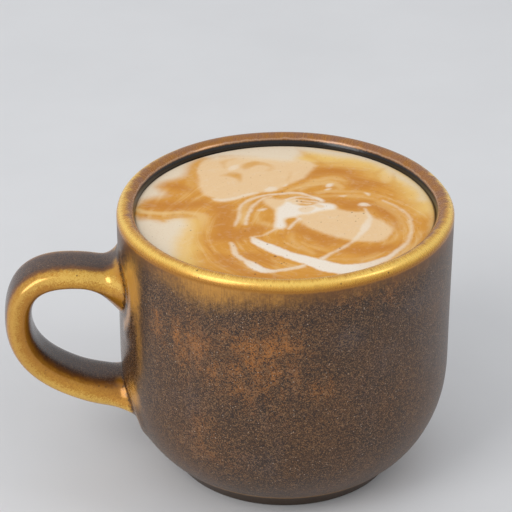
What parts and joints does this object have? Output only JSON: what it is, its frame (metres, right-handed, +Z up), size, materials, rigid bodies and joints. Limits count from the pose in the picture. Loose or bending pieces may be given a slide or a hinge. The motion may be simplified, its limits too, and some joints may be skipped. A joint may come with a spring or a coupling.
{
  "type": "latte in a ceramic mug",
  "caption": "Latte with swirled milk foam, filling a round-bellied mug of dark reactive glaze with a golden rim and a strap handle.",
  "frame": {"origin": "the middle of the mug's foot, on the surface that it stands on", "axes": "+Z up along the mug's axis, -X from the axis towards the handle, +Y to the side"},
  "size_m": [0.1344, 0.1, 0.0855],
  "materials": {
    "reactive_glaze": "satin dark brown reactive glaze with fine speckles, breaking to gold at the rim and the edges of the handle",
    "milk_foam": "crema and milk foam, tan and cream, fine satin foam"
  },
  "bodies": {
    "root": {"mug": "reactive_glaze", "latte": "milk_foam"}
  },
  "joints": []
}
